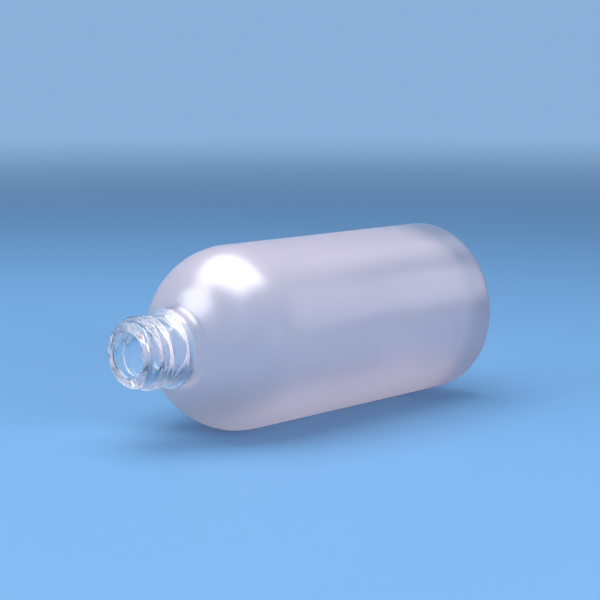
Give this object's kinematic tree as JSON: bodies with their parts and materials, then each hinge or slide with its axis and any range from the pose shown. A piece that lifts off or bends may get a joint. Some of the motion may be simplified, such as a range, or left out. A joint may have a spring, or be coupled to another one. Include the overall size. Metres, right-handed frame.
{
  "type": "frosted glass bottle",
  "caption": "Round frosted glass bottle with a domed shoulder and a short clear neck that has an outside screw thread, a bead and a plain round mouth.",
  "frame": {"origin": "centre of the flat ring that the bottle stands on, on its axis", "axes": "+Z along the bottle's axis, out of its mouth; the bottle is round, so X and Y only fix where the thread starts: its upper end lies at +Y"},
  "size_m": [0.047, 0.047, 0.1125],
  "materials": {
    "frosted_glass": "colourless glass, frosted matt outside from the heel up to the bead, clear and glossy on the neck and inside"
  },
  "bodies": {
    "root": {"bottle": "frosted_glass"}
  },
  "joints": []
}
